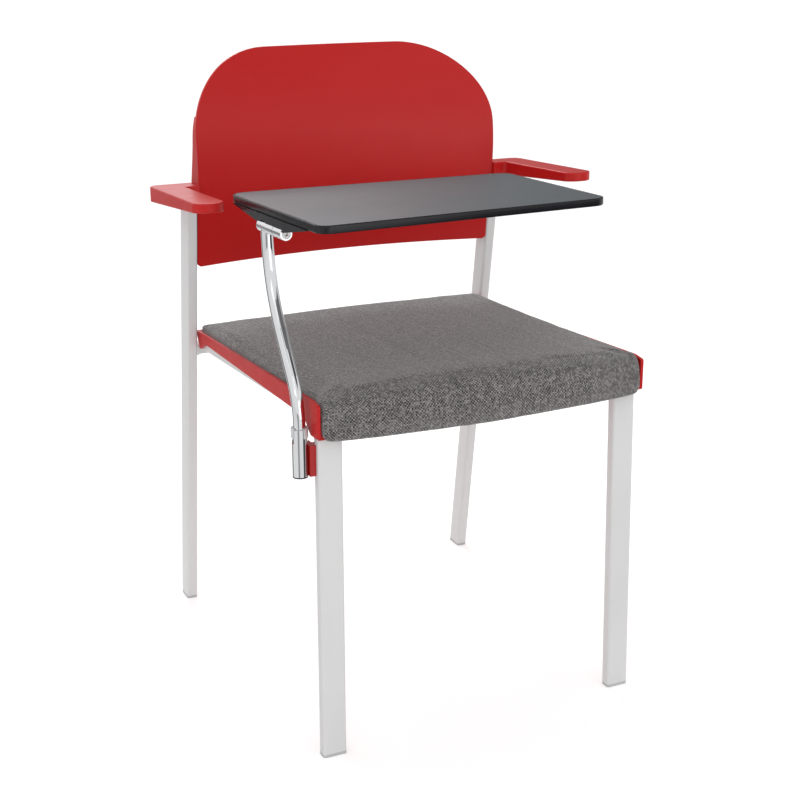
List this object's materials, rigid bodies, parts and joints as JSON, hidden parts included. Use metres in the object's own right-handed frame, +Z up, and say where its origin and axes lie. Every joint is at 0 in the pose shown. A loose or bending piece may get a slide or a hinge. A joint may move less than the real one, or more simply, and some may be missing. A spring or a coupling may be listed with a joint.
{
  "type": "stacking chair with writing tablet",
  "caption": "Armed stacking chair with a steel tube frame, curved plastic back, padded seat and a writing tablet on a swivelling side post that also flips up.",
  "frame": {"origin": "on the floor, at the middle of the whole chair's outline seen from above", "axes": "+X towards the sitter's left, -X to the tablet's side, +Y to the back of the chair, +Z up"},
  "size_m": [0.5476, 0.5758, 0.792],
  "materials": {
    "frame_paint": "satin light grey powder coat",
    "glide_plastic": "grey moulded plastic",
    "red_plastic": "smooth red moulded plastic, low sheen",
    "board_wood": "plain plywood",
    "seat_fabric": "mottled grey woven upholstery cloth",
    "screw_steel": "zinc plated",
    "bracket_paint": "red paint matching the seat shell",
    "black_plastic": "black moulded plastic",
    "post_chrome": "polished chrome plating",
    "core_wood": "pressed wood core with a light grey backing sheet",
    "grey_laminate": "smooth grey laminate, low sheen"
  },
  "bodies": {
    "chair": {"front_leg_left": "frame_paint", "front_leg_right": "frame_paint", "rear_leg_left": "frame_paint", "rear_leg_right": "frame_paint", "seat_rail_left": "frame_paint", "seat_rail_right": "frame_paint", "front_cross_rail": "frame_paint", "rear_cross_rail": "frame_paint", "front_glide_left": "glide_plastic", "front_glide_right": "glide_plastic", "rear_glide_left": "glide_plastic", "rear_glide_right": "glide_plastic", "seat_shell": "red_plastic", "seat_board": "board_wood", "seat_cushion": "seat_fabric", "seat_screws": "screw_steel", "back_shell": "red_plastic", "back_screws": "screw_steel", "armrest_left": "red_plastic", "armrest_right": "red_plastic", "arm_screws": "screw_steel", "tablet_bracket": "bracket_paint", "bracket_bolts": "screw_steel", "pivot_sleeve": "post_chrome", "sleeve_collar": "glide_plastic", "upper_bush": "glide_plastic", "lower_bush": "glide_plastic", "sleeve_cap": "black_plastic"},
    "post": {"tablet_post": "post_chrome", "swivel_stop_pin": "screw_steel", "hinge_pin": "screw_steel", "hinge_washer": "black_plastic"},
    "tablet": {"hinge_knuckle": "post_chrome", "tablet_casing": "black_plastic", "casing_screws": "screw_steel", "tablet_core": "core_wood", "tablet_laminate": "grey_laminate", "tablet_edge_band": "black_plastic"}
  },
  "joints": [
    {"name": "post_swivel", "type": "hinge", "parent": "chair", "child": "post", "pos_m": [-0.226, -0.20532, 0.4], "axis": [0, 0, 1], "range_deg": [-45, 0]},
    {"name": "tablet_flip", "type": "hinge", "parent": "post", "child": "tablet", "pos_m": [-0.226, -0.13892, 0.6259], "axis": [0, -0.999, 0.0436], "range_deg": [0, 40]}
  ]
}
